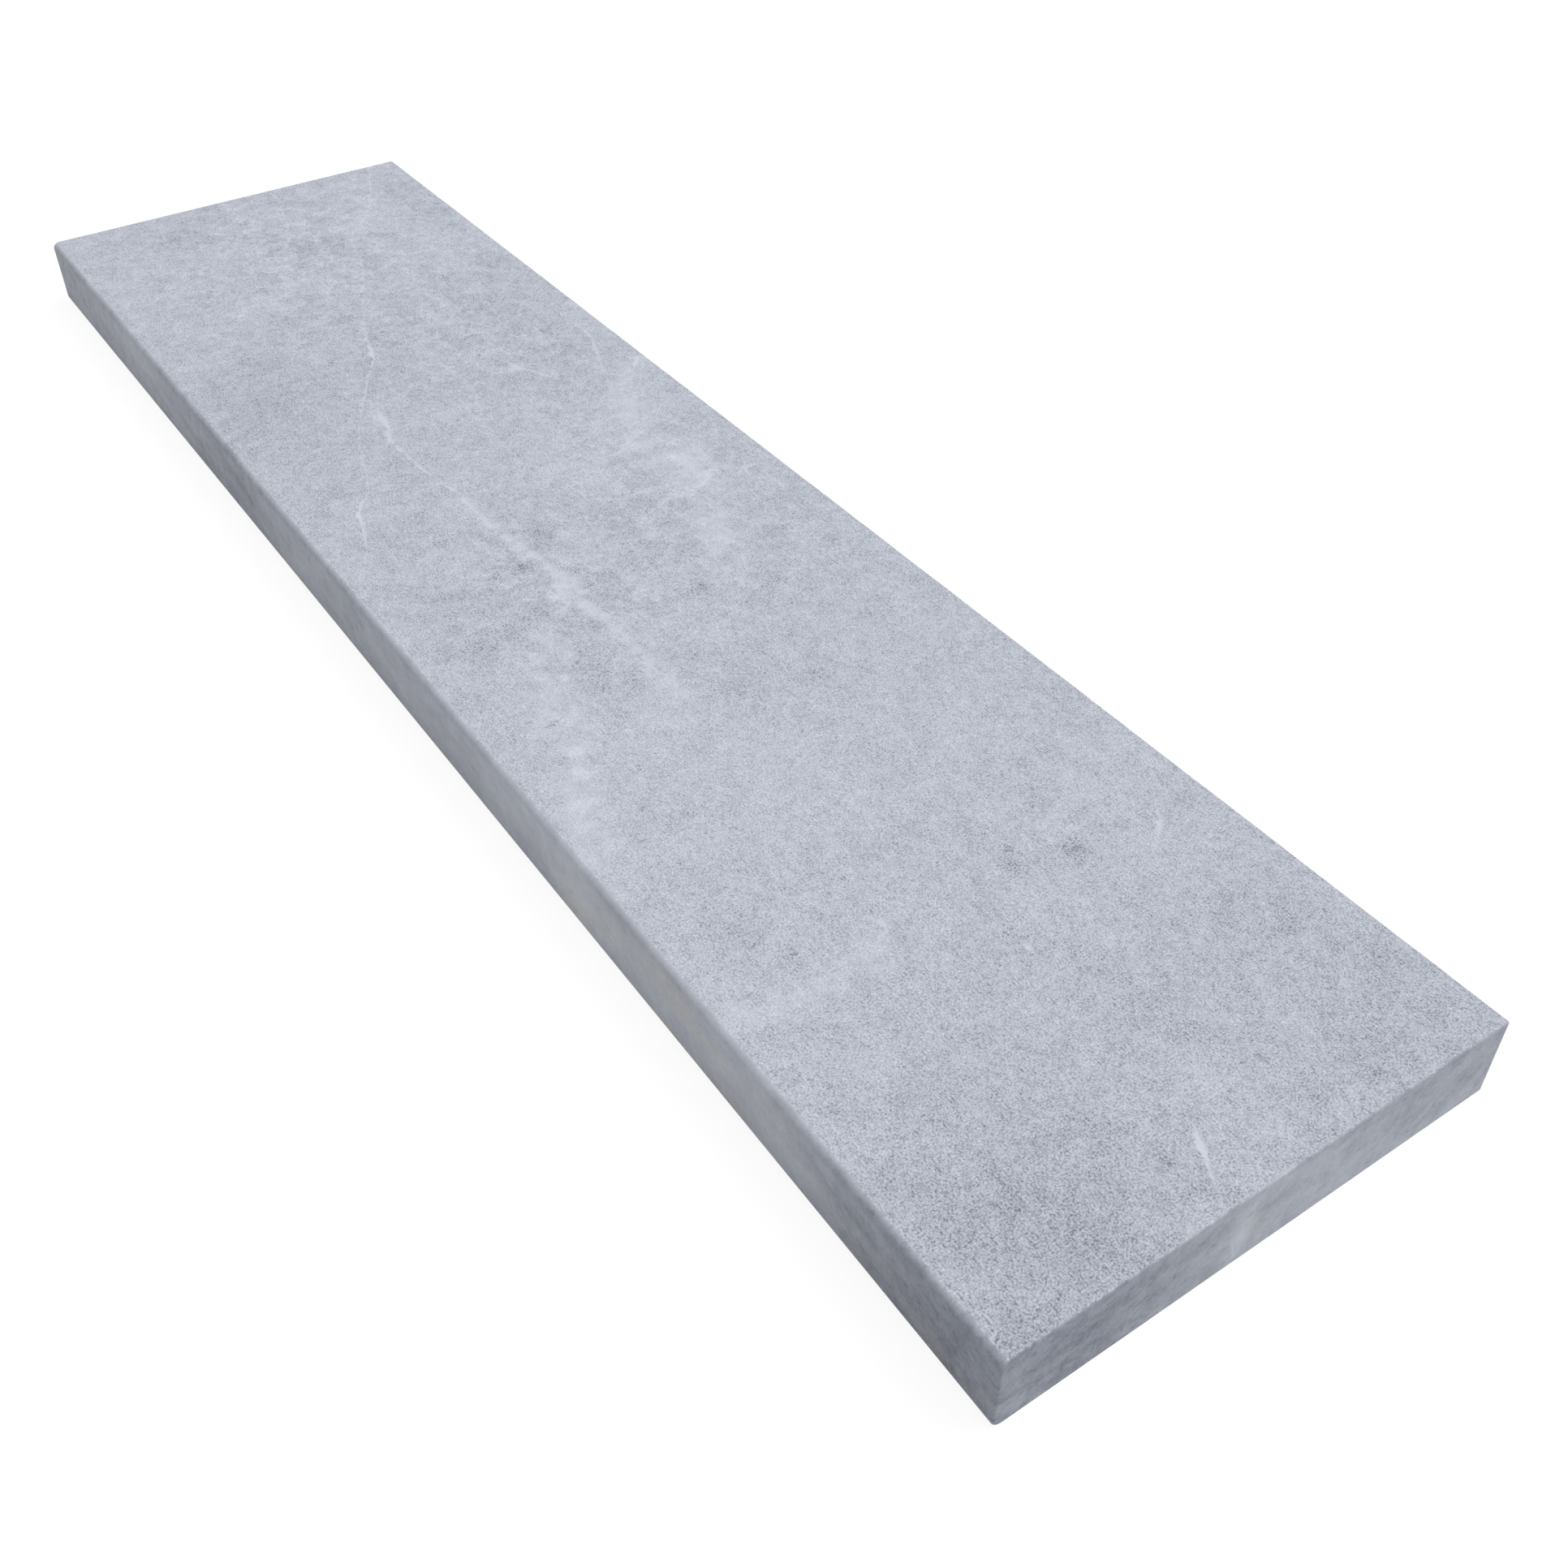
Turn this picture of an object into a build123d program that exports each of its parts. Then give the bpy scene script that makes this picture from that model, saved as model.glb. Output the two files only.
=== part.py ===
from build123d import *

import os

# Coping stone: one sawn slab of limestone that caps a wall or edges a pool.
#
# Millimetres, +Z up, origin at the centre of the bed face. The length runs along X and the width along Y.
# The front face, which shows over the wall, is at -Y, and its two long arrises are rounded over.
# Every other arris is only eased, as a hand pad leaves it after sawing.

# Stock size of the slab.
LENGTH = 1200.0
WIDTH = 300.0
THICKNESS = 50.0

# Radius of the rounded arrises above and below the front face.
FRONT_ARRIS_RADIUS = 5.0

# Radius of the eased arrises round both ends and along the back face.
EASED_ARRIS_RADIUS = 1.2


def slab_section():
    """The slab's cross-section in the YZ plane, standing on its bed, with both front corners rounded."""
    section = Rectangle(WIDTH, THICKNESS, align=(Align.CENTER, Align.MIN))
    front_corners = section.vertices().group_by(Axis.X)[0]
    return Plane.YZ * fillet(front_corners, FRONT_ARRIS_RADIUS)


def coping_stone():
    """The section run out half the length each way, with its sharp arrises eased."""
    slab = extrude(slab_section(), amount=LENGTH / 2, both=True)
    end_faces = slab.faces().filter_by(Axis.X)
    back_face = slab.faces().sort_by(Axis.Y)[-1]
    sharp_arrises = end_faces.edges() + back_face.edges().filter_by(Axis.X)
    return fillet(sharp_arrises, EASED_ARRIS_RADIUS)


os.makedirs("parts", exist_ok=True)
export_step(coping_stone(), "parts/coping_stone.step")
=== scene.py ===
"""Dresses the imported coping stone: a sandblasted limestone slab, its veins and grain, and a white studio."""

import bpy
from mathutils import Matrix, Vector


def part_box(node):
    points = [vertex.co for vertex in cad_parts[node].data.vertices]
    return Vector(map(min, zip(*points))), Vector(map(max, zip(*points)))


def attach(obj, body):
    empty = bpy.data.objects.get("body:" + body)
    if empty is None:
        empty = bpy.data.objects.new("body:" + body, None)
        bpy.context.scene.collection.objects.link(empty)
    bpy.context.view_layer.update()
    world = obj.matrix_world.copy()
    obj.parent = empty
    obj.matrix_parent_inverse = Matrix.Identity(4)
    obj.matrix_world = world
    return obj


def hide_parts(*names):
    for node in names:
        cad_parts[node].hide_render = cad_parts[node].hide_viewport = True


bl_info = {
    "name": "Coping stone",
    "version": (1, 0, 0),
    "blender": (4, 5, 0),
    "location": "View3D > Sidebar > Coping",
    "description": "Builds a sandblasted limestone coping stone and the studio that it stands in",
    "category": "Object",
}

import bpy
import numpy as np
from bpy.props import FloatProperty, FloatVectorProperty, PointerProperty
from mathutils import Vector

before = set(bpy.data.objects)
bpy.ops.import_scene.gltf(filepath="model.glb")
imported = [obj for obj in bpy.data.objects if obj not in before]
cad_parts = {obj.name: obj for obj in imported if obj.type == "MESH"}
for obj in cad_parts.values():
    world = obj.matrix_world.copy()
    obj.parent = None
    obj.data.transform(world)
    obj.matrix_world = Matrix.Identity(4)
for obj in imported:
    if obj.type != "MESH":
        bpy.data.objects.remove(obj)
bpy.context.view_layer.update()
STONE_LOW, STONE_HIGH = (np.array(corner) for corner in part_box("coping_stone"))

MM = 0.001

# Veins on the top face, each a route of points: x, y and half width in millimetres, and strength.
# A strength of 1 is full calcite. A bead on a vein has more, because the grains break part of it away.
THIN_VEIN = (
    (-600, 127, 0.6, 0.3), (-563, 113, 0.6, 0.6), (-509, 86, 0.6, 0.5), (-473, 56, 0.6, 0.6),
    (-413, 39, 0.6, 0.6), (-343, 8, 0.6, 0.6), (-303, -7, 0.7, 0.8), (-277, -14, 1.1, 1.5),
    (-252, -28, 0.6, 0.7), (-228, -43, 0.9, 1.3), (-200, -57, 0.6, 0.4), (-168, -73, 0.6, 0.4),
    (-116, -89, 0.6, 0.4), (-89, -108, 1.0, 1.4), (-79, -110, 0.8, 1.1), (-46, -122, 0.6, 0.6),
    (-10, -141, 0.6, 0.3),
)
MAIN_VEIN = (
    (-221, -44, 0.6, 0.3), (-182, -46, 1.3, 0.9), (-155, -54, 1.1, 0.9), (-99, -51, 1.1, 0.9),
    (-72, -46, 1.3, 0.9), (-36, -46, 1.7, 0.65), (37, -37, 2.6, 0.65), (64, -40, 5.0, 0.6),
    (100, -37, 3.2, 0.45), (135, -35, 2.4, 0.6), (167, -33, 4.0, 0.55), (205, -42, 2.4, 0.1),
)
FAR_ARC = ((-243, 131, 0.8, 0.4), (-220, 133, 1.0, 0.8), (-195, 126, 1.0, 0.8), (-158, 112, 0.8, 0.4))
FAR_STREAK = ((-239, 51, 0.8, 0.4), (-200, 66, 1.0, 0.8), (-172, 80, 0.8, 0.4))
END_VEIN = (
    (560, -10, 0.6, 0.4), (571, -15, 1.0, 1.5), (580, -20, 0.7, 0.8), (591, -27, 0.7, 0.8),
    (604, -32, 0.6, 0.6),
)
KNOTS = (
    ((405, 117, 0.6, 0.4), (413, 111, 1.4, 1.3), (421, 103, 0.6, 0.4)),
    ((387, -47, 0.6, 0.5), (393, -51, 1.7, 1.4), (397, -57, 0.6, 0.5)),
    ((437, 3, 0.6, 0.4), (441, -1, 1.4, 1.2), (446, -3, 0.6, 0.4)),
    ((-163, 144, 0.8, 0.8), (-160, 140, 1.6, 1.5), (-150, 131, 0.8, 0.5)),
)
VEINS = (THIN_VEIN, MAIN_VEIN, FAR_ARC, FAR_STREAK, END_VEIN, *KNOTS)
# In millimetres from a vein: how far its field reaches, and where its strength starts to fade and is gone.
VEIN_REACH = 24
VEIN_FADE = (12, 20)
# The field where there is no vein: far across, with a half width to divide by and no strength.
NO_VEIN = (99.0, 1.0, 0.0)
# A vein leans by this much across the width for each millimetre of depth.
VEIN_LEAN = 0.35

# Soft pale bands, written as the veins are, and how far from its route a band is worked out.
LOWER_BAND = (
    (60, -42, 9, 0.8), (88, -64, 10, 0.6), (115, -85, 13, 1.0), (149, -98, 13, 0.9),
    (203, -115, 12, 1.1), (233, -128, 13, 1.3), (262, -138, 12, 1.0), (300, -148, 12, 0.7),
)
UPPER_BAND = (
    (-162, 142, 8, 0.6), (-112, 102, 13, 0.7), (-85, 89, 16, 0.9), (-55, 90, 18, 1.0),
    (-10, 98, 14, 0.8), (33, 77, 15, 0.9), (85, 57, 14, 0.8), (115, 46, 10, 0.3),
)
UPPER_BRANCH = ((-58, 84, 12, 0.7), (-59, 60, 9, 0.6), (-57, 43, 8, 0.6), (-46, 28, 8, 0.3))
MAIN_HALO = (
    (-221, -44, 5, 0.2), (-103, -52, 7, 0.25), (37, -37, 9, 0.4), (100, -37, 10, 0.4), (205, -42, 8, 0.2),
)
NEAR_STREAK = ((391, -50, 5, 0.5), (406, -82, 6, 0.6), (406, -111, 7, 0.8), (398, -142, 8, 0.8))
BANDS = (LOWER_BAND, UPPER_BAND, UPPER_BRANCH, MAIN_HALO, NEAR_STREAK)
BAND_REACH = 50

# Pale and dark clouds: centre and reach along the face's two axes in millimetres, and tone gained or lost.
TOP_CLOUDS = (
    (-515, 92, 45, 18, 0.4), (-410, 65, 70, 20, 0.4), (-395, -65, 18, 32, 0.5), (-440, -5, 30, 20, 0.25),
    (-55, 92, 60, 40, 0.3), (-50, 20, 30, 25, 0.4), (-85, -102, 25, 18, 0.3), (-12, -90, 20, 16, 0.4),
    (240, -50, 110, 55, 0.4), (290, 55, 40, 35, 0.3), (372, 110, 14, 40, 0.3), (405, -110, 14, 40, 0.3),
    (-250, -108, 75, 50, -0.9), (-260, 0, 90, 50, -0.3), (-295, 88, 30, 26, -0.5),
    (-215, 105, 26, 26, -0.5), (-370, 128, 30, 20, -0.3), (-490, 125, 25, 18, -0.3),
    (-575, -105, 35, 50, -0.3), (-110, -90, 40, 40, -0.4), (60, -95, 50, 30, -0.3),
    (490, 102, 32, 32, -0.5), (570, -115, 75, 60, -1.05), (575, -70, 45, 45, -0.5),
    (590, 110, 60, 70, -0.75), (500, 0, 60, 160, -0.2), (-100, 15, 50, 40, 0.3),
    (2, -24, 22, 12, -0.5), (195, -9, 30, 16, -0.3),
)
FRONT_CLOUDS = (
    (-560, 28, 80, 30, -0.25), (-400, 38, 45, 25, 1.0), (-236, 42, 34, 8, -0.6), (-174, 22, 30, 16, -0.7),
    (-230, 15, 60, 20, -0.3), (-90, 25, 60, 35, 0.7), (18, 40, 10, 5, 0.6), (41, 8, 6, 6, -0.8),
    (75, 28, 60, 30, 0.8), (205, 44, 60, 12, 1.8), (180, 15, 30, 24, 1.4), (262, 18, 38, 30, 2.5),
    (340, 12, 60, 30, 2.0), (415, 32, 60, 30, 1.5), (460, 12, 30, 20, 1.3), (365, 42, 8, 6, -0.8),
    (550, 25, 62, 40, -0.65), (507, 21, 4, 3, 1.6), (0, 6, 900, 16, 0.2),
)
END_CLOUDS = (
    (-110, 20, 60, 40, -0.6), (20, 20, 60, 40, 0.1), (60, 0, 60, 22, 0.7), (120, 0, 40, 16, 0.55),
    (65, 30, 35, 25, 0.2), (-14, 20, 6, 8, 1.8), (-16, 36, 5, 9, 0.8),
)
# Warm bands on the front and on the end, laid out as the clouds are.
FRONT_BUFFS = ((262, 12, 40, 18, 0.5), (370, 22, 70, 26, 0.7), (540, 10, 60, 10, 0.6))
END_BUFFS = ((20, 20, 100, 30, 0.3),)
# Distances over which the clouds and warm bands of the front and of the end fade out past their own face.
FRONT_FADE = 2 * MM
END_FADE = 0.5 * MM
# Painted light: tone gained by the front's top arris where it meets the blasted face, more as it faces up.
ARRIS_PAINTED_LIGHT = 0.95
# Ground that is broken into fragments, laid out as the clouds are, and how much of it is everywhere.
LACES = ((-470, 20, 190, 150, 0.55), (-230, 60, 90, 70, 0.4), (20, 60, 110, 70, 0.5), (60, -50, 80, 50, 0.6))
LACE_BASE = 0.2
# Spots where the softer grains have been plucked out, laid out as the clouds are, with how thickly.
PLUCKED_SPOTS = (
    (403, 62, 10, 9, 1.6), (392, 29, 10, 11, 1.3), (360, 28, 9, 8, 0.9), (518, 23, 8, 8, 0.8),
    (368, 68, 9, 9, 0.9), (105, 121, 8, 8, 1.0), (33, 21, 9, 7, 0.4), (102, 28, 8, 8, 0.8),
    (198, -7, 9, 8, 0.9), (210, 34, 8, 8, 0.8), (-132, -61, 5, 4, 1.4), (-126, -42, 10, 6, 1.0),
    (-30, -82, 14, 8, 0.9), (-14, -55, 8, 6, 1.0), (-13, -25, 18, 10, 0.7), (42, -57, 6, 5, 1.2),
    (25, -71, 5, 5, 1.1), (83, -76, 6, 5, 1.1), (50, -27, 6, 5, 1.1), (140, -64, 16, 8, 0.6),
    (122, -88, 4, 4, 1.4), (138, -95, 4, 4, 1.4), (168, -107, 4, 4, 1.9), (196, -119, 4, 4, 1.2),
    (227, -137, 7, 6, 1.0), (244, -127, 3, 3, 1.8), (40, -108, 16, 11, 0.5),
)

# The blast runs over each arris by this turn, and no further below the top than this.
BLAST_TURN = np.radians(20)
BLAST_DROP = 2 * MM
# The material is told the distance from the blasted border up to this many millimetres on either side.
BORDER_REACH = 5
# Half the width, in millimetres, over which the blasted finish turns into the honed one.
BORDER_SOFT = 0.35
# Shortest and longest hills on the blasted top, and the same for the wear on the arrises.
HILL_LENGTHS = (7 * MM, 30 * MM)
WEAR_LENGTHS = (9 * MM, 90 * MM)
HILL_SEED = 3
WEAR_SEED = 5
# The stone wears fully where the largest part of its outward direction on any axis is under the first of
# these, as on an arris, and not at all past the second, as on a flat face.
WEAR_PARTS = (0.78, 0.98)
# Middle depth of the wear, and how far it strays from that.
WEAR_DEPTH = 0.05 * MM
WEAR_SPREAD = 0.04 * MM

# Facets in each half of an arris, and the gap from an arris to the first mark on the flat face.
FRONT_FACETS = 3
EASED_FACETS = 2
PAST_ARRIS = 0.9 * MM
# The steps up the narrow faces are this many times the mesh pitch.
NARROW_STEP = 3

# Place of each side on the stone's square map: the side's axis and end, the axes that run across and up the
# map, the half of the length that it covers, and its left, bottom, width and height in cells of the map.
# The bed comes last.
SIDES = (
    ("Z", 1, "XY", 0, (0, 0, 12, 6)),
    ("Z", 1, "XY", 1, (0, 6, 12, 6)),
    ("Y", 0, "XZ", 0, (0, 12, 12, 1)),
    ("Y", 0, "XZ", 1, (0, 13, 12, 1)),
    ("Y", 1, "XZ", 0, (0, 14, 12, 1)),
    ("Y", 1, "XZ", 1, (0, 15, 12, 1)),
    ("X", 0, "ZY", None, (15, 0, 1, 6)),
    ("X", 1, "ZY", None, (15, 6, 1, 6)),
    ("Z", 0, "YX", None, (12, 0, 3, 16)),
)
BED_SIDE = len(SIDES) - 1
# The map has this many cells each way, and a margin round each side keeps neighbours from bleeding together.
MAP_CELLS = 16
MAP_MARGIN = 0.0015

# Index of calcite, which limestone is made of, and its tone in a vein on the stone's card.
CALCITE_IOR = 1.58
VEIN_TONE = 0.86

# The paper sweep reaches this far each way, this far under the bed. To the eye it glows nearly white by
# itself, and its grey adds the rest where no shadow falls.
SWEEP_REACH = 20.0
SWEEP_DROP = 0.1 * MM
SWEEP_GLOW = 0.92
SWEEP_GREY = "5D5D5D"
# The overhead light's direction from the stone, and the angle that it fills.
KEY_DIRECTION = (0.25, 0.42, 1.0)
KEY_ANGLE = np.radians(50)

# The camera's bearing and height round the stone, the point that it looks at and its distance from there in
# metres, and its focal length in millimetres.
CAMERA_AZIMUTH = np.radians(55.569)
CAMERA_ELEVATION = np.radians(41.936)
CAMERA_AIM = (0.2570, -0.0155, 0.0250)
CAMERA_DISTANCE = 0.9299
CAMERA_LENS = 39.009


def linear(hex_colour):
    """The linear red, green and blue of an sRGB colour written as six hex digits."""
    srgb = np.array([int(hex_colour[i : i + 2], 16) for i in (0, 2, 4)]) / 255
    return tuple(np.where(srgb <= 0.04045, srgb / 12.92, ((srgb + 0.055) / 1.055) ** 2.4))


class CopingSizes(bpy.types.PropertyGroup):
    """Sizes of the stone and of the relief that working it leaves."""

    length: FloatProperty(
        name="Length", description="Length of the stone along the wall",
        default=STONE_HIGH[0] - STONE_LOW[0], min=0.1, unit="LENGTH",
    )
    width: FloatProperty(
        name="Width", description="Width of the stone across the wall",
        default=STONE_HIGH[1] - STONE_LOW[1], min=0.05, unit="LENGTH",
    )
    thickness: FloatProperty(
        name="Thickness", description="Height of the stone from bed to top",
        default=STONE_HIGH[2] - STONE_LOW[2], min=0.015, unit="LENGTH",
    )
    front_radius: FloatProperty(
        name="Front arris", description="Radius of the two rounded arrises of the front face",
        default=5 * MM, min=2 * MM, unit="LENGTH",
    )
    eased_radius: FloatProperty(
        name="Eased arris", description="Radius of every other arris, eased with a hand pad",
        default=1.2 * MM, min=0.2 * MM, unit="LENGTH",
    )
    blast_depth: FloatProperty(
        name="Blast depth", description="How far the sandblast cuts the top face down",
        default=0.12 * MM, min=0.0, unit="LENGTH",
    )
    relief: FloatProperty(
        name="Relief", description="Height of the shallow hills that the sandblast leaves",
        default=0.05 * MM, min=0.0, unit="LENGTH",
    )
    pitch: FloatProperty(
        name="Mesh pitch", description="Distance between the points of the mesh on the broad faces",
        default=3.08 * MM, min=1 * MM, unit="LENGTH",
    )


class CopingColours(bpy.types.PropertyGroup):
    """Colours of the stone, from the bottom of its pits to its veins."""

    # On the blasted top the pit and shade colours mostly paint the shade in the pits; elsewhere they are the
    # stone's darker tone.
    pit: FloatVectorProperty(
        name="Pit", description="Bottom of a blasted pit",
        subtype="COLOR", default=linear("777C89"),
    )
    shade: FloatVectorProperty(
        name="Shade", description="Darker grains",
        subtype="COLOR", default=linear("9DA2AE"),
    )
    body: FloatVectorProperty(
        name="Body", description="The blue-grey body of the limestone",
        subtype="COLOR", default=linear("B8BDC8"),
    )
    pale: FloatVectorProperty(
        name="Pale", description="Grains that the blast left standing",
        subtype="COLOR", default=linear("C7CCD7"),
    )
    vein: FloatVectorProperty(
        name="Vein", description="Calcite in the veins",
        subtype="COLOR", default=linear("D7DCE5"),
    )
    buff: FloatVectorProperty(
        name="Buff", description="Tint of the warm bands on the front and on the end",
        subtype="COLOR", default=linear("FFF9ED"),
    )


class CopingStage(bpy.types.PropertyGroup):
    """Floor and light of the studio."""

    floor: FloatVectorProperty(
        name="Floor", description="Colour of the paper sweep",
        subtype="COLOR", default=linear("E0E0E0"),
    )
    key: FloatProperty(
        name="Key light", description="Strength of the soft overhead light", default=2.45, min=0.0,
    )
    fill: FloatProperty(
        name="Fill light", description="Strength of the light from all round", default=0.3, min=0.0,
    )


def arris_insets(*arrises):
    """Insets of the marks beside an edge, for arrises given as radius and number of facets.

    A mark at the radius times one less the tangent of a turn meets the ray that leaves the arris's centre at
    that turn, so equal turns from 45 degrees to none cut the round into equal facets. One more mark past the
    widest arris keeps its shading off the flat face.
    """
    cuts = [radius * (1 - np.tan(np.linspace(np.pi / 4, 0, facets + 1))) for radius, facets in arrises]
    past = max(radius for radius, facets in arrises) + PAST_ARRIS
    return np.unique(np.concatenate([*cuts, [past]]).round(7))


def edge_marks(low, high, insets_low, insets_high, pitch):
    """Marks along an edge of the box: insets from each end, and even steps of about the pitch between."""
    start = low + insets_low
    stop = high - insets_high[::-1]
    steps = round((stop[0] - start[-1]) / pitch)
    return np.concatenate([start, np.linspace(start[-1], stop[0], steps + 1)[1:-1], stop])


def box_lattice(marks):
    """Points, quads, map places and side numbers of a box whose edges are cut at the given marks.

    A point is known by its three mark numbers, so sides that meet share their points. Each side is a grid of
    point numbers, and its quads join four neighbours, turned to face outwards.
    """
    counts = [len(m) for m in marks]
    middle = counts[0] // 2
    quads, places, sides = [], [], []
    for number, (normal, end, axes, half, rectangle) in enumerate(SIDES):
        fixed, across, up = ("XYZ".index(a) for a in normal + axes)
        columns = np.arange(counts[across])
        if half is not None:
            columns = columns[: middle + 1] if half == 0 else columns[middle:]
        rows = np.arange(counts[up])
        grid = [None] * 3
        grid[across], grid[up] = np.meshgrid(columns, rows, indexing="ij")
        grid[fixed] = np.full_like(grid[up], end * (counts[fixed] - 1))
        points = np.ravel_multi_index(grid, counts)

        left, bottom, wide, high = np.array(rectangle) / MAP_CELLS + np.array((1, 1, -2, -2)) * MAP_MARGIN
        u = np.interp(marks[across][columns], marks[across][columns[[0, -1]]], (left, left + wide))
        v = np.interp(marks[up][rows], marks[up][rows[[0, -1]]], (bottom, bottom + high))
        place = np.stack(np.meshgrid(u, v, indexing="ij"), -1)

        corners = (slice(None, -1), slice(1, None))
        ring = [(0, 0), (1, 0), (1, 1), (0, 1)]
        if ((up - across) % 3 == 1) != bool(end):
            ring.reverse()
        quads.append(np.stack([points[corners[a], corners[b]].ravel() for a, b in ring], -1))
        places.append(np.stack([place[corners[a], corners[b]].reshape(-1, 2) for a, b in ring], 1))
        sides.append(np.full(len(quads[-1]), number))
    used, quads = np.unique(np.concatenate(quads), return_inverse=True)
    points = np.stack([m[i] for m, i in zip(marks, np.unravel_index(used, counts))], -1)
    return points, quads.reshape(-1, 4), np.concatenate(places), np.concatenate(sides)


def eased_slab(box, low, high, front_radius, eased_radius):
    """Points of the slab with rounded arrises, and their outward directions, from points of the sharp box.

    The slab is all that lies within the eased radius of a core: the box shrunk by that radius, with its two
    front corners turned about the centres of the rounded arrises. Each point of the box goes to the eased
    radius from the nearest point of the core.
    """
    core = np.clip(box, low + eased_radius, high - eased_radius)
    reach_y = np.minimum(box[:, 1] - (low[1] + front_radius), 0)
    reach_z = box[:, 2] - np.clip(box[:, 2], low[2] + front_radius, high[2] - front_radius)
    reach = np.maximum(np.hypot(reach_y, reach_z), 1e-9)
    keep = np.minimum(1, (front_radius - eased_radius) / reach)
    front = reach_y < 0
    core[front, 1] = (box[:, 1] - reach_y * (1 - keep))[front]
    core[front, 2] = (box[:, 2] - reach_z * (1 - keep))[front]
    outward = box - core
    outward /= np.linalg.norm(outward, axis=1, keepdims=True)
    return core + eased_radius * outward, outward


def waves(points, shortest, longest, seed, count=48):
    """Hills and hollows of unit spread: a sum of plane waves with seeded directions, lengths and phases."""
    rng = np.random.default_rng(seed)
    directions = rng.normal(size=(3, count))
    directions /= np.linalg.norm(directions, axis=0)
    lengths = np.geomspace(shortest, longest, count)
    phases = rng.uniform(0, 2 * np.pi, count)
    return np.sin(points @ (2 * np.pi * directions / lengths) + phases).sum(1) / np.sqrt(count / 2)


def blast_border(points, low, high, sizes):
    """Distance of each point inside the border of the blasted top, less than nought outside it.

    On an arris the border stands in from the side by the radius times one less the sine of the blast's turn.
    """
    inset = 1 - np.sin(BLAST_TURN)
    return np.min(
        [
            points[:, 1] - (low[1] + sizes.front_radius * inset),
            high[1] - sizes.eased_radius * inset - points[:, 1],
            high[0] - sizes.eased_radius * inset - np.abs(points[:, 0]),
            points[:, 2] - (high[2] - BLAST_DROP),
        ],
        axis=0,
    )


def worked_points(points, outward, border, sizes):
    """Points of the slab moved inwards: the blast cuts the top down in hills, and wear nibbles the arrises.

    The cut is the blast's depth plus the hills. An arris is where the outward direction leans away from all
    three axes, and its wear is a middle depth plus longer hills. Neither is ever less than nought.
    """
    blasted = np.clip(border / MM, 0, 1)
    cut = blasted * (sizes.blast_depth + sizes.relief * waves(points, *HILL_LENGTHS, seed=HILL_SEED))
    arris = np.interp(np.abs(outward).max(1), WEAR_PARTS, (1, 0)) * (1 - blasted)
    wear = arris * np.clip(WEAR_SPREAD * waves(points, *WEAR_LENGTHS, seed=WEAR_SEED) + WEAR_DEPTH, 0, None)
    return points - outward * (np.clip(cut, 0, None) + wear)[:, None]


def smooth_route(route, steps=6):
    """A route's points joined by a curve that passes through them, each span cut into equal steps.

    The curve is a cubic, and its slope at a point is half the way from the point before to the point after.
    """
    points = np.array(route, float)
    before = np.concatenate([points[:1], points[:-2]])[:, None]
    after = np.concatenate([points[2:], points[-1:]])[:, None]
    start, stop = points[:-1, None], points[1:, None]
    t = np.linspace(0, 1, steps, endpoint=False)[None, :, None]
    slope_in, slope_out = (stop - before) / 2, (after - start) / 2
    curve = (
        (2 * t**3 - 3 * t**2 + 1) * start + (t**3 - 2 * t**2 + t) * slope_in
        + (3 * t**2 - 2 * t**3) * stop + (t**3 - t**2) * slope_out
    )
    return np.concatenate([curve.reshape(-1, 4), points[-1:]])


def across_route(flat, route, reach):
    """Which places lie near a route, and how far across it, with the route's half width and strength there.

    The distance is to the nearest point of the route's curve, and its sign tells the two sides apart.
    """
    line = smooth_route(route)
    near = ((flat > line[:, :2].min(0) - reach) & (flat < line[:, :2].max(0) + reach)).all(1)
    offset = flat[near, None] - line[None, :-1, :2]
    run = np.diff(line, axis=0)
    along = np.clip((offset * run[:, :2]).sum(2) / (run[:, :2] ** 2).sum(1), 0, 1)
    gap = offset - along[:, :, None] * run[:, :2]
    distance = np.hypot(gap[:, :, 0], gap[:, :, 1])
    nearest = distance.argmin(1)
    row = np.arange(len(nearest))
    spot = line[nearest] + along[row, nearest][:, None] * run[nearest]
    side = np.sign(run[nearest, 0] * gap[row, nearest, 1] - run[nearest, 1] * gap[row, nearest, 0])
    return near, np.stack([side * distance[row, nearest], spot[:, 2], spot[:, 3]], 1)


def vein_field(flat):
    """Signed distance across the nearest vein, its half width and its strength at each x and y.

    The nearest is the one whose side, not its middle, is closest. Distances are in millimetres.
    """
    field = np.tile(NO_VEIN, (len(flat), 1))
    for route in VEINS:
        near, mine = across_route(flat, route, VEIN_REACH)
        mine[:, 2] *= np.interp(np.abs(mine[:, 0]), VEIN_FADE, (1, 0))
        closer = np.abs(mine[:, 0]) - mine[:, 1] < np.abs(field[near, 0]) - field[near, 1]
        field[near] = np.where(closer[:, None], mine, field[near])
    return field


def band_field(flat):
    """Strength of the strongest soft band at each x and y: each falls off as a bell across its route."""
    field = np.zeros(len(flat))
    for route in BANDS:
        near, mine = across_route(flat, route, BAND_REACH)
        across, reach, strength = mine.T
        field[near] = np.maximum(field[near], strength * np.exp(-((across / reach) ** 2)))
    return field


def cloud_field(flat, clouds):
    """Sum of clouds on a face: each falls off as a bell with its own reach along the face's two axes."""
    x, y, reach_x, reach_y, amount = np.array(clouds, float).T
    bell = np.exp(-(((flat[:, :1] - x) / reach_x) ** 2) - ((flat[:, 1:] - y) / reach_y) ** 2)
    return bell @ amount


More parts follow.
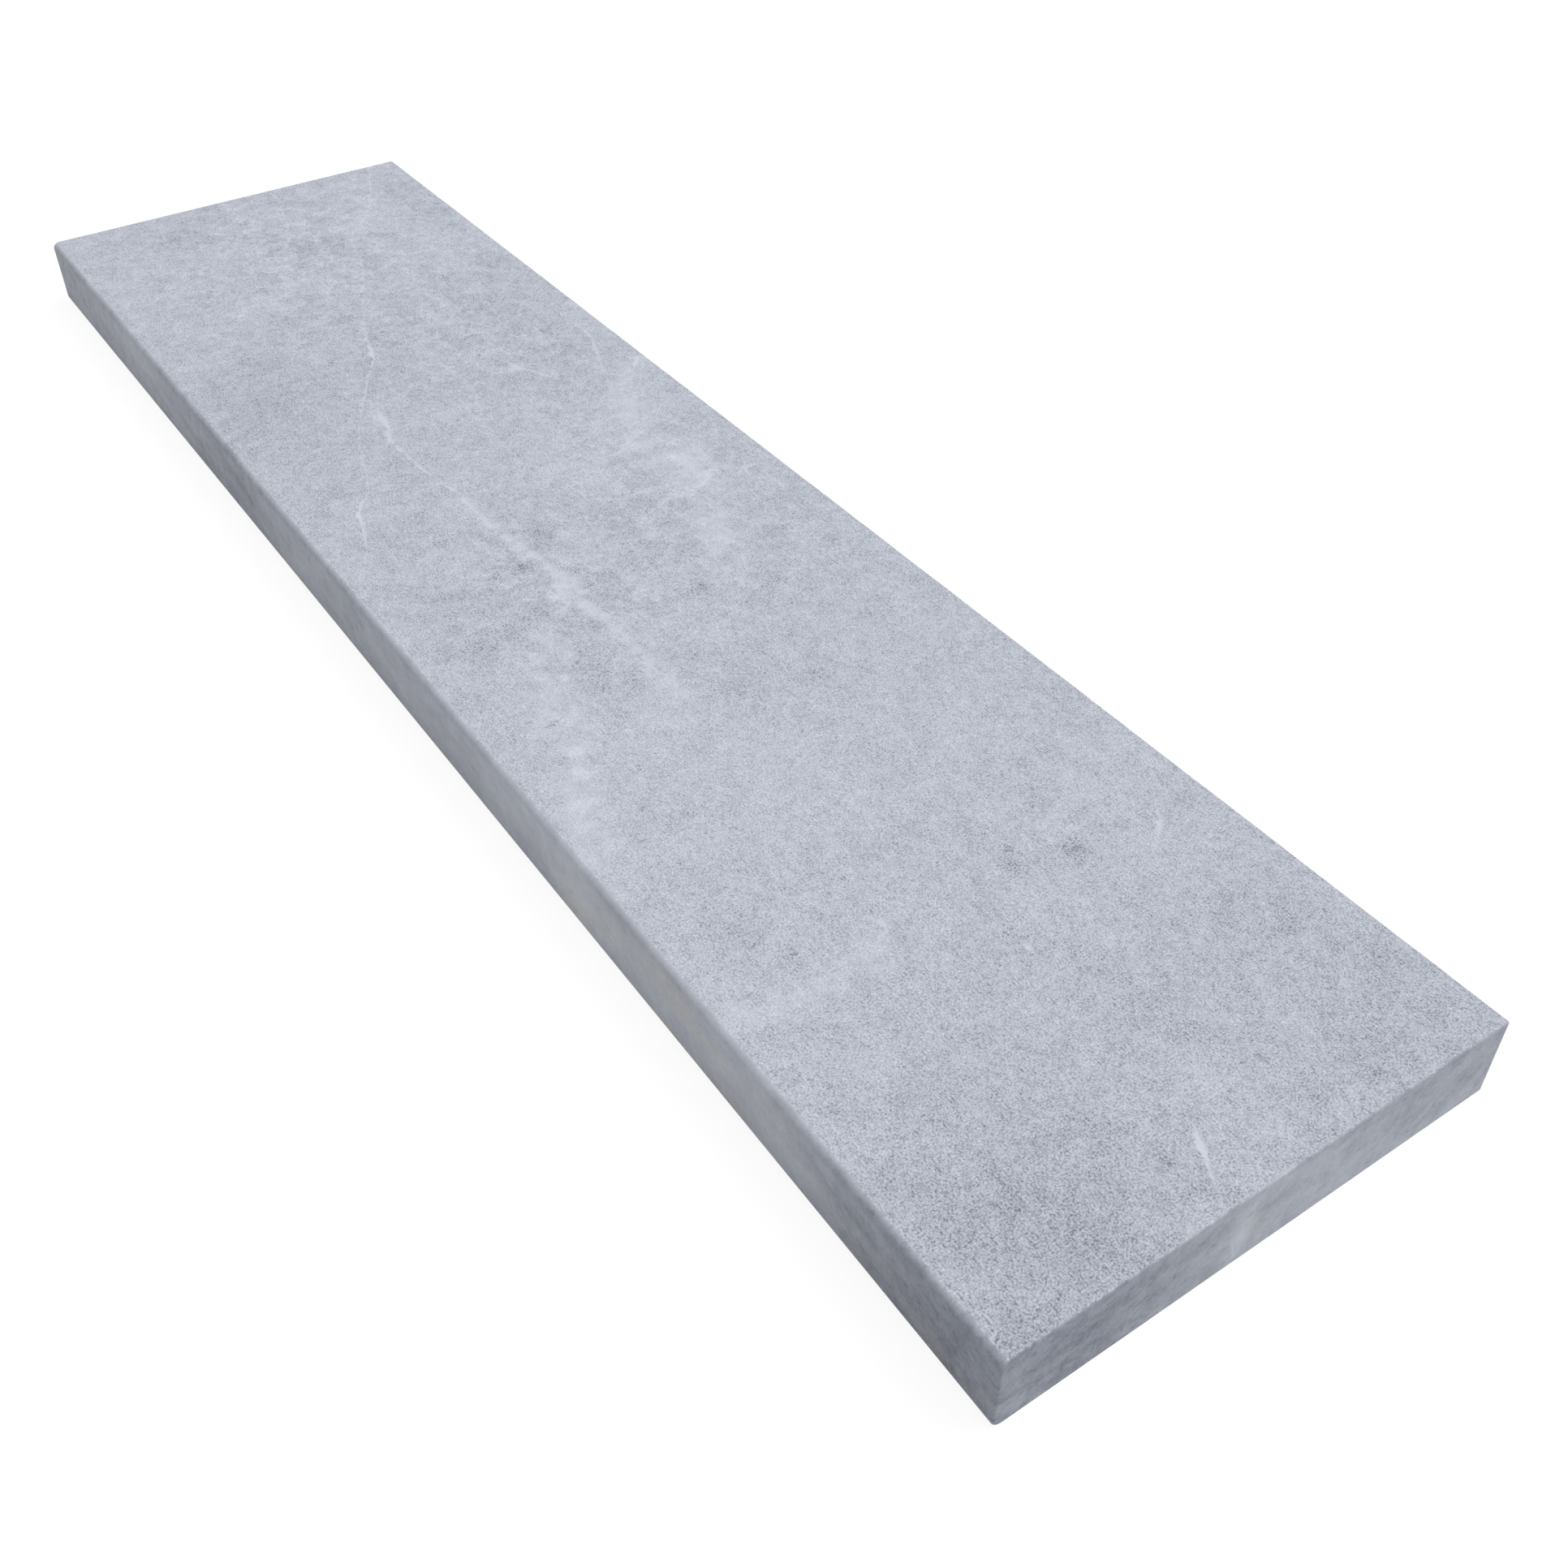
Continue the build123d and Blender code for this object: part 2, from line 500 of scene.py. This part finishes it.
def stone_fields(points, outward, border, low, high, front_radius):
    """What the limestone reads at each point, by name: border, veins, bands, fragments, spots, clouds and
    painted light.
    """
    spots = points / MM
    top, front, end = spots[:, (0, 1)], spots[:, (0, 2)], spots[:, (1, 2)]
    leaning = top - np.outer((high[2] - points[:, 2]) / MM, (0, VEIN_LEAN))
    on_front = np.exp(-(((points[:, 1] - low[1]) / FRONT_FADE) ** 2))
    on_end = np.exp(-(((points[:, 0] - high[0]) / END_FADE) ** 2))
    cloud_and_painted_light = cloud_field(top, TOP_CLOUDS)
    cloud_and_painted_light += on_front * cloud_field(front, FRONT_CLOUDS) + on_end * cloud_field(end, END_CLOUDS)
    # Painted light: the front's round top arris turns paler the more it faces up, up to the blasted border.
    rounding = points[:, 1] < low[1] + front_radius
    unblasted = np.exp(-((np.clip(border, 0, None) / MM) ** 2))
    cloud_and_painted_light += ARRIS_PAINTED_LIGHT * rounding * np.clip(outward[:, 2], 0, 1) * unblasted
    return {
        "blast_edge": np.clip(border / MM, -BORDER_REACH, BORDER_REACH),
        "vein": vein_field(leaning),
        "band": band_field(leaning),
        "lace": LACE_BASE + cloud_field(leaning, LACES),
        "pluck": cloud_field(top, PLUCKED_SPOTS),
        "cloud_and_painted_light": cloud_and_painted_light,
        "buff": on_front * cloud_field(front, FRONT_BUFFS) + on_end * cloud_field(end, END_BUFFS),
    }


def set_attribute(mesh, name, values):
    """Puts one number or vector for each point of the mesh under a name that a material can read."""
    kind, part = ("FLOAT", "value") if values.ndim == 1 else ("FLOAT_VECTOR", "vector")
    attribute = mesh.attributes.new(name, kind, "POINT")
    attribute.data.foreach_set(part, np.ascontiguousarray(values, np.float32).ravel())


def add_node(tree, kind, output, inputs=(), **settings):
    """Adds one node and gives the output of that name or number, or the node itself where there is none.

    Inputs pairs each socket with its value, or with the socket that feeds it.
    """
    node = tree.nodes.new(kind)
    for name, value in settings.items():
        setattr(node, name, value)
    for socket, value in dict(inputs).items():
        if isinstance(value, bpy.types.NodeSocket):
            tree.links.new(value, node.inputs[socket])
        else:
            node.inputs[socket].default_value = value
    return node if output is None else node.outputs[output]


def weighted_sum(tree, start, terms):
    """Start plus each signal's weight times its distance from its middle."""
    total = start - sum(weight * middle for signal, weight, middle in terms)
    for signal, weight, middle in terms:
        total = add_node(
            tree, "ShaderNodeMath", "Value", {0: signal, 1: weight, 2: total}, operation="MULTIPLY_ADD"
        )
    return total


def new_material(name):
    """An empty material and its node tree."""
    material = bpy.data.materials.new(name)
    material.use_nodes = True
    material.node_tree.nodes.clear()
    return material, material.node_tree


def stone_card(tree, tone, colours):
    """The stone's colour for each tone, from the painted shade of a pit at 0 to a vein at 1."""
    card = add_node(tree, "ShaderNodeValToRGB", None, {"Fac": tone})
    stops = card.color_ramp.elements
    stops[0].color = (*colours.pit, 1)
    stops[-1].color = (*colours.vein, 1)
    for position, colour in ((0.25, colours.shade), (0.5, colours.body), (0.75, colours.pale)):
        stops.new(position).color = (*colour, 1)
    return card.outputs["Color"]


def vein_calcite(tree, noise):
    """How much calcite shows: fullest on a vein's line, and gone past twice its half width.

    The clusters and clumps sway the line. With the grains they fray its sides, and the clusters thin it out.
    """
    vein = add_node(tree, "ShaderNodeAttribute", "Vector", attribute_name="vein")
    vein = add_node(tree, "ShaderNodeSeparateXYZ", None, {"Vector": vein}).outputs
    swayed = weighted_sum(
        tree, 0.0, ((vein["X"], 1.0, 0.0), (noise["cluster"], 6.0, 0.5), (noise["clump"], 2.5, 0.5))
    )
    across = add_node(tree, "ShaderNodeMath", "Value", {0: swayed}, operation="ABSOLUTE")
    across = add_node(tree, "ShaderNodeMath", "Value", {0: across, 1: vein["Y"]}, operation="DIVIDE")
    frayed = weighted_sum(
        tree, 0.0,
        (
            (across, 1.0, 0.0), (noise["cluster"], -1.8, 0.5), (noise["clump"], -1.4, 0.5),
            (noise["grain"], -1.6, 0.5),
        ),
    )
    calcite = add_node(
        tree, "ShaderNodeMapRange", "Result",
        {"Value": frayed, "From Min": 2.0, "From Max": 0.2, "To Min": 0.0, "To Max": vein["Z"]},
        interpolation_type="SMOOTHSTEP",
    )
    thinned = add_node(
        tree, "ShaderNodeMapRange", "Result",
        {"Value": noise["cluster"], "From Min": 0.4, "From Max": 0.6, "To Min": 0.5, "To Max": 1.0},
    )
    return add_node(tree, "ShaderNodeMath", "Value", {0: calcite, 1: thinned}, operation="MULTIPLY")


def soft_veil(tree, noise, band):
    """The soft bands, thinned out in patches by the drifts and clusters."""
    patch = weighted_sum(tree, 0.7, ((noise["drift"], 1.2, 0.5), (noise["cluster"], 1.0, 0.5)))
    patch = add_node(tree, "ShaderNodeClamp", "Result", {"Value": patch})
    return add_node(tree, "ShaderNodeMath", "Value", {0: band, 1: patch}, operation="MULTIPLY")


def broken_ground(tree, place, noise, lace):
    """Tone gained or lost by fragments in the ground, each its own, with paler threads of calcite between.

    The fragments are the cells round scattered points, in plan, and a finer noise bends their edges.
    """
    fragment_size = 26 * MM
    bend_size = 8 * MM
    bend_reach = 22 * MM
    bend = add_node(
        tree, "ShaderNodeTexNoise", "Color", {"Vector": place, "Scale": 1 / bend_size, "Detail": 0.0}
    )
    bent = add_node(
        tree, "ShaderNodeVectorMath", "Vector", {0: bend, 1: (bend_reach,) * 3, 2: place},
        operation="MULTIPLY_ADD",
    )
    cells = {"Vector": bent, "Scale": 1 / fragment_size}
    fragment, gap = (
        add_node(tree, "ShaderNodeTexVoronoi", output, cells, feature=feature, voronoi_dimensions="2D")
        for output, feature in (("Color", "F1"), ("Distance", "DISTANCE_TO_EDGE"))
    )
    thread = add_node(tree, "ShaderNodeMapRange", "Result", {"Value": gap, "From Min": 0.1, "From Max": 0.0})
    tone = weighted_sum(
        tree, 0.0, ((fragment, 0.2, 0.5), (thread, 0.22, 0.15), (noise["cluster"], 0.25, 0.5))
    )
    return add_node(tree, "ShaderNodeMath", "Value", {0: tone, 1: lace}, operation="MULTIPLY")


def blasted_tone(tree, noise, field, calcite, veil, fragments):
    """Tone of the blasted top: a ground of painted-shade pits, clumps, flecks, fragments and clouds, with
    paler veins.
    """
    # Flecks: softer grains that the blast has emptied, thickest where the drifts and clusters are dark.
    thick = weighted_sum(
        tree, 0.0,
        (
            (noise["fleck"], 1.0, 0.5), (noise["cluster"], -0.35, 0.5), (noise["drift"], -0.2, 0.5),
            (field["pluck"], 0.13, 0.0),
        ),
    )
    fleck = add_node(
        tree, "ShaderNodeMapRange", "Result", {"Value": thick, "From Min": 0.24, "From Max": 0.35}
    )
    # The blast bites less into the veils and more where grains were plucked out.
    bite = weighted_sum(tree, 1.0, ((veil, -0.4, 0.0), (field["pluck"], 0.1, 0.0)))
    # Mostly painted shade: the grains and clumps darken the colour where the stone is pitted, for the shade in
    # the hollows, and partly the stone's own darker grains.
    pit_shade = weighted_sum(tree, 0.0, ((noise["grain"], 1.45, 0.5), (noise["clump"], 0.54, 0.5)))
    bitten_pit_shade = add_node(tree, "ShaderNodeMath", "Value", {0: pit_shade, 1: bite}, operation="MULTIPLY")
    ground = weighted_sum(
        tree, 0.545,
        (
            (bitten_pit_shade, 1.0, 0.0), (noise["cluster"], 0.2, 0.5), (noise["drift"], 0.12, 0.5),
            (field["cloud_and_painted_light"], 0.12, 0.0), (fleck, -0.28, 0.0), (field["pluck"], -0.06, 0.0),
            (fragments, 1.0, 0.0), (veil, 0.19, 0.0),
        ),
    )
    # The veins resist the blast, so the pits grow fainter where there is more calcite.
    return add_node(
        tree, "ShaderNodeMix", "Result", {"Factor": calcite, "A": ground, "B": VEIN_TONE}, data_type="FLOAT"
    )


def honed_tone(tree, noise, field, calcite, veil):
    """Tone of the honed faces: the same veins and veils as the top, with bedding in place of the pits."""
    # Nicks: short dark slanting marks, where the softest sheets have plucked out.
    nick = add_node(
        tree, "ShaderNodeMapRange", "Result", {"Value": noise["streak"], "From Min": 0.36, "From Max": 0.26}
    )
    return weighted_sum(
        tree, 0.44,
        (
            (noise["bedding"], 0.36, 0.5), (noise["streak"], 0.14, 0.5), (noise["drift"], 0.25, 0.5),
            (noise["cluster"], 0.34, 0.5), (noise["clump"], 0.24, 0.5), (noise["grain"], 0.28, 0.5),
            (nick, -0.1, 0.0), (field["cloud_and_painted_light"], 0.17, 0.0), (calcite, 0.22, 0.0), (veil, 0.12, 0.0),
        ),
    )


def worked_limestone(colours):
    """Blue-grey limestone, sandblasted on top and honed on its edges.

    The blast eats the softer grains first, so the top face is a dense field of dark pits in a paler ground
    and has no gloss; the pits' darkness is painted shade. The honed faces keep a soft mottle with a low
    sheen, and the veins, which are harder, stay smoother and paler.
    """
    material, tree = new_material("limestone_sandblasted_and_honed")
    place = add_node(tree, "ShaderNodeTexCoord", "Object")
    # Bedding: sheets that lie aslant and show as streaks on the honed faces, and nearly level layers.
    sheets, layers = (
        add_node(
            tree, "ShaderNodeMapping", "Vector",
            {"Vector": place, "Rotation": tuple(np.radians(turns)), "Scale": (stretch, stretch, 1.0)},
            vector_type="TEXTURE",
        )
        for turns, stretch in (((0, 44, -45), 2.4), ((-8, 6, 0), 5.0))
    )
    # Sizes in millimetres: grains lie in clumps, clumps in clusters, and clusters in drifts. Flecks are as
    # large as clumps. Streaks follow the sheets, and bedding follows the layers.
    noise = {
        name: add_node(
            tree, "ShaderNodeTexNoise", "Fac",
            {"Vector": vector, "Scale": 1 / (size * MM), "Detail": octaves, "Roughness": 0.5},
        )
        for name, vector, size, octaves in (
            ("grain", place, 1, 1), ("clump", place, 3, 1), ("cluster", place, 9, 1),
            ("drift", place, 30, 2), ("fleck", place, 3, 0),
            ("streak", sheets, 2, 1), ("bedding", layers, 11, 2),
        )
    }
    field = {
        name: add_node(tree, "ShaderNodeAttribute", "Fac", attribute_name=name)
        for name in ("blast_edge", "band", "lace", "pluck", "cloud_and_painted_light", "buff")
    }
    calcite = vein_calcite(tree, noise)
    veil = soft_veil(tree, noise, field["band"])
    fragments = broken_ground(tree, place, noise, field["lace"])
    blasted = blasted_tone(tree, noise, field, calcite, veil, fragments)
    honed = honed_tone(tree, noise, field, calcite, veil)

    # The blast stops at the masked border, ragged by about a grain.
    border = {"From Min": -BORDER_SOFT, "From Max": BORDER_SOFT}
    ragged = weighted_sum(
        tree, 0.0,
        ((field["blast_edge"], 1.0, 0.0), (noise["clump"], 1.6, 0.5), (noise["grain"], 1.2, 0.5)),
    )
    blast = add_node(
        tree, "ShaderNodeMapRange", "Result", {"Value": ragged, **border}, interpolation_type="SMOOTHSTEP"
    )
    tone = add_node(
        tree, "ShaderNodeMix", "Result", {"Factor": blast, "A": honed, "B": blasted}, data_type="FLOAT"
    )
    # Warm bands follow the bedding. A Mix node has its sockets once for each kind of value, so those for
    # colours are numbered.
    warm = add_node(
        tree, "ShaderNodeMapRange", "Result",
        {
            "Value": noise["bedding"], "From Min": 0.4, "From Max": 0.6,
            "To Min": 0.0, "To Max": field["buff"],
        },
    )
    colour = add_node(
        tree, "ShaderNodeMix", 2,
        {"Factor": warm, 6: stone_card(tree, tone, colours), 7: (*colours.buff, 1)},
        data_type="RGBA", blend_type="MULTIPLY",
    )
    roughness = add_node(
        tree, "ShaderNodeMapRange", "Result", {"Value": blast, "To Min": 0.55, "To Max": 0.88}
    )

    # Pits of about 0.1 mm on the blasted top, far shallower on the honed faces and shallower in the veins.
    depth = add_node(
        tree, "ShaderNodeMapRange", "Result",
        {"Value": field["blast_edge"], **border, "To Min": 0.1, "To Max": 1.0},
    )
    pits = weighted_sum(tree, -0.26, ((noise["grain"], 1.6, 0.5),))
    height = add_node(tree, "ShaderNodeMath", "Value", {0: pits, 1: depth}, operation="MULTIPLY")
    strength = add_node(
        tree, "ShaderNodeMapRange", "Result", {"Value": calcite, "To Min": 1.0, "To Max": 0.4}
    )
    normal = add_node(
        tree, "ShaderNodeBump", "Normal", {"Height": height, "Strength": strength, "Distance": 0.1 * MM}
    )
    # Dry, open grain scatters most of the shine, so little of it is left.
    shader = add_node(
        tree, "ShaderNodeBsdfPrincipled", "BSDF",
        {
            "Base Color": colour, "Roughness": roughness, "Normal": normal,
            "IOR": CALCITE_IOR, "Specular IOR Level": 0.12,
        },
    )
    add_node(tree, "ShaderNodeOutputMaterial", None, {"Surface": shader})
    return material


def sawn_limestone(colours):
    """The same limestone as the frame saw leaves it, on the bed.

    The blades leave faint straight marks across the stone, a few millimetres apart, and a dusty, matt face.
    """
    material, tree = new_material("limestone_sawn")
    place = add_node(tree, "ShaderNodeTexCoord", "Object")
    strokes = add_node(
        tree, "ShaderNodeMapping", "Vector", {"Vector": place, "Scale": (1.0, 60.0, 1.0)},
        vector_type="TEXTURE",
    )
    noise = {
        name: add_node(
            tree, "ShaderNodeTexNoise", "Fac",
            {"Vector": vector, "Scale": 1 / (size * MM), "Detail": octaves, "Roughness": 0.5},
        )
        for name, vector, size, octaves in (
            ("grain", place, 1.5, 2), ("cluster", place, 9, 2), ("drift", place, 30, 3),
            ("kerf", strokes, 3.5, 2),
        )
    }
    cloud_and_painted_light = add_node(tree, "ShaderNodeAttribute", "Fac", attribute_name="cloud_and_painted_light")
    tone = weighted_sum(
        tree, 0.42,
        (
            (noise["grain"], 0.35, 0.5), (noise["cluster"], 0.25, 0.5), (noise["drift"], 0.3, 0.5),
            (noise["kerf"], 0.3, 0.5), (cloud_and_painted_light, 0.15, 0.0),
        ),
    )
    height = weighted_sum(tree, 0.0, ((noise["kerf"], 1.0, 0.5), (noise["grain"], 0.4, 0.5)))
    normal = add_node(tree, "ShaderNodeBump", "Normal", {"Height": height, "Distance": 0.15 * MM})
    shader = add_node(
        tree, "ShaderNodeBsdfPrincipled", "BSDF",
        {
            "Base Color": stone_card(tree, tone, colours), "Roughness": 0.9, "Normal": normal,
            "IOR": CALCITE_IOR, "Specular IOR Level": 0.3,
        },
    )
    add_node(tree, "ShaderNodeOutputMaterial", None, {"Surface": shader})
    return material


def seen_rays(tree):
    """One for a ray from the camera, or by way of a mirror or glass, and nought for other light."""
    path = add_node(tree, "ShaderNodeLightPath", None).outputs
    seen = path["Is Camera Ray"]
    for kind in ("Is Glossy Ray", "Is Transmission Ray"):
        seen = add_node(tree, "ShaderNodeMath", "Value", {0: seen, 1: path[kind]}, operation="MAXIMUM")
    return seen


def matt_paper(floor_colour):
    """Studio paper: pale to the light that bounces off it, and white to the eye but for a faint shadow."""
    material, tree = new_material("paper_sweep_matt")
    bounce = add_node(tree, "ShaderNodeBsdfDiffuse", "BSDF", {"Color": (*floor_colour, 1)})
    shadow = add_node(tree, "ShaderNodeBsdfDiffuse", "BSDF", {"Color": (*linear(SWEEP_GREY), 1)})
    white = add_node(tree, "ShaderNodeEmission", "Emission", {"Strength": SWEEP_GLOW})
    shown = add_node(tree, "ShaderNodeAddShader", "Shader", {0: shadow, 1: white})
    floor = add_node(tree, "ShaderNodeMixShader", "Shader", {0: seen_rays(tree), 1: bounce, 2: shown})
    add_node(tree, "ShaderNodeOutputMaterial", None, {"Surface": floor})
    return material


class COPING_OT_stone(bpy.types.Operator):
    """Builds the stone slab, one closed skin with rounded arrises and a blasted top"""

    bl_idname = "coping.stone"
    bl_label = "Coping stone"

    def execute(self, context):
        sizes = context.scene.coping_sizes
        colours = context.scene.coping_colours
        size = np.array((sizes.length, sizes.width, sizes.thickness))
        low = np.array((-size[0] / 2, -size[1] / 2, 0.0))
        high = low + size
        rounded = arris_insets((sizes.front_radius, FRONT_FACETS), (sizes.eased_radius, EASED_FACETS))
        eased = arris_insets((sizes.eased_radius, EASED_FACETS))
        marks = (
            edge_marks(low[0], high[0], eased, eased, sizes.pitch),
            edge_marks(low[1], high[1], rounded, eased, sizes.pitch),
            edge_marks(low[2], high[2], rounded, rounded, NARROW_STEP * sizes.pitch),
        )
        box, quads, places, sides = box_lattice(marks)
        points, outward = eased_slab(box, low, high, sizes.front_radius, sizes.eased_radius)
        border = blast_border(points, low, high, sizes)
        points = worked_points(points, outward, border, sizes)

        mesh = bpy.data.meshes.new("coping_stone_skin")
        mesh.from_pydata(points, [], quads)
        mesh.uv_layers.new(name="OFBake").uv.foreach_set("vector", places.astype(np.float32).ravel())
        mesh.polygons.foreach_set("material_index", (sides == BED_SIDE).astype(np.int32))
        fields = stone_fields(points, outward, border, low, high, sizes.front_radius)
        for name, values in fields.items():
            set_attribute(mesh, name, values)
        mesh.materials.append(worked_limestone(colours))
        mesh.materials.append(sawn_limestone(colours))
        mesh.shade_smooth()
        mesh.update()
        stone = bpy.data.objects.new("coping_stone_dressed", mesh)
        context.scene.collection.objects.link(stone)
        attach(stone, "root")
        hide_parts("coping_stone")
        return {"FINISHED"}


class COPING_OT_stage(bpy.types.Operator):
    """Sets the white floor, the soft light and the camera"""

    bl_idname = "coping.stage"
    bl_label = "Studio stage"

    def execute(self, context):
        scene = context.scene
        stage = scene.coping_stage
        scene.view_settings.view_transform = "Standard"

        sheet = bpy.data.meshes.new("paper_sweep_sheet")
        corners = np.array([(-1, -1, 0), (1, -1, 0), (1, 1, 0), (-1, 1, 0)]) * SWEEP_REACH
        sheet.from_pydata(corners - (0, 0, SWEEP_DROP), [], [(0, 1, 2, 3)])
        sheet.materials.append(matt_paper(stage.floor))
        sweep = bpy.data.objects.new("paper_sweep", sheet)
        scene.collection.objects.link(sweep)

        # The world is white to the eye, and lights the stone only as the fill.
        world = bpy.data.worlds.new("studio")
        world.use_nodes = True
        tree = world.node_tree
        tree.nodes.clear()
        strength = add_node(
            tree, "ShaderNodeMapRange", "Result",
            {"Value": seen_rays(tree), "To Min": stage.fill, "To Max": 1.0},
        )
        sky = add_node(
            tree, "ShaderNodeBackground", "Background",
            {"Color": (*linear("FFFFFF"), 1), "Strength": strength},
        )
        add_node(tree, "ShaderNodeOutputWorld", None, {"Surface": sky})
        scene.world = world

        lamp = bpy.data.lights.new("overhead_softbox", "SUN")
        lamp.energy = stage.key
        lamp.angle = KEY_ANGLE
        key = bpy.data.objects.new("overhead_softbox", lamp)
        key.rotation_mode = "QUATERNION"
        key.rotation_quaternion = Vector(KEY_DIRECTION).to_track_quat("Z", "Y")
        scene.collection.objects.link(key)

        back = Vector((
            np.sin(CAMERA_AZIMUTH) * np.cos(CAMERA_ELEVATION),
            -np.cos(CAMERA_AZIMUTH) * np.cos(CAMERA_ELEVATION),
            np.sin(CAMERA_ELEVATION),
        ))
        lens = bpy.data.cameras.new("camera")
        lens.lens = CAMERA_LENS
        camera = bpy.data.objects.new("camera", lens)
        camera.location = Vector(CAMERA_AIM) + back * CAMERA_DISTANCE
        camera.rotation_mode = "QUATERNION"
        camera.rotation_quaternion = back.to_track_quat("Z", "Y")
        scene.collection.objects.link(camera)
        scene.camera = camera
        return {"FINISHED"}


class COPING_PT_panel(bpy.types.Panel):
    """Lists the coping stone's sizes, colours and steps"""

    bl_label = "Coping stone"
    bl_idname = "COPING_PT_panel"
    bl_space_type = "VIEW_3D"
    bl_region_type = "UI"
    bl_category = "Coping"

    def draw(self, context):
        for group, operator in (
            (context.scene.coping_sizes, None),
            (context.scene.coping_colours, COPING_OT_stone),
            (context.scene.coping_stage, COPING_OT_stage),
        ):
            for name in group.bl_rna.properties.keys():
                if name not in ("rna_type", "name"):
                    self.layout.prop(group, name)
            if operator:
                self.layout.operator(operator.bl_idname)


CLASSES = (CopingSizes, CopingColours, CopingStage, COPING_OT_stone, COPING_OT_stage, COPING_PT_panel)


def register():
    """Adds the classes, and the settings of each scene."""
    for cls in CLASSES:
        bpy.utils.register_class(cls)
    bpy.types.Scene.coping_sizes = PointerProperty(type=CopingSizes)
    bpy.types.Scene.coping_colours = PointerProperty(type=CopingColours)
    bpy.types.Scene.coping_stage = PointerProperty(type=CopingStage)


def unregister():
    """Takes away what register added, last first."""
    del bpy.types.Scene.coping_stage
    del bpy.types.Scene.coping_colours
    del bpy.types.Scene.coping_sizes
    for cls in reversed(CLASSES):
        bpy.utils.unregister_class(cls)


def main():
    """Registers the add-on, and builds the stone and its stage."""
    register()
    bpy.ops.coping.stone()
    bpy.ops.coping.stage()


if __name__ == "__main__":
    main()
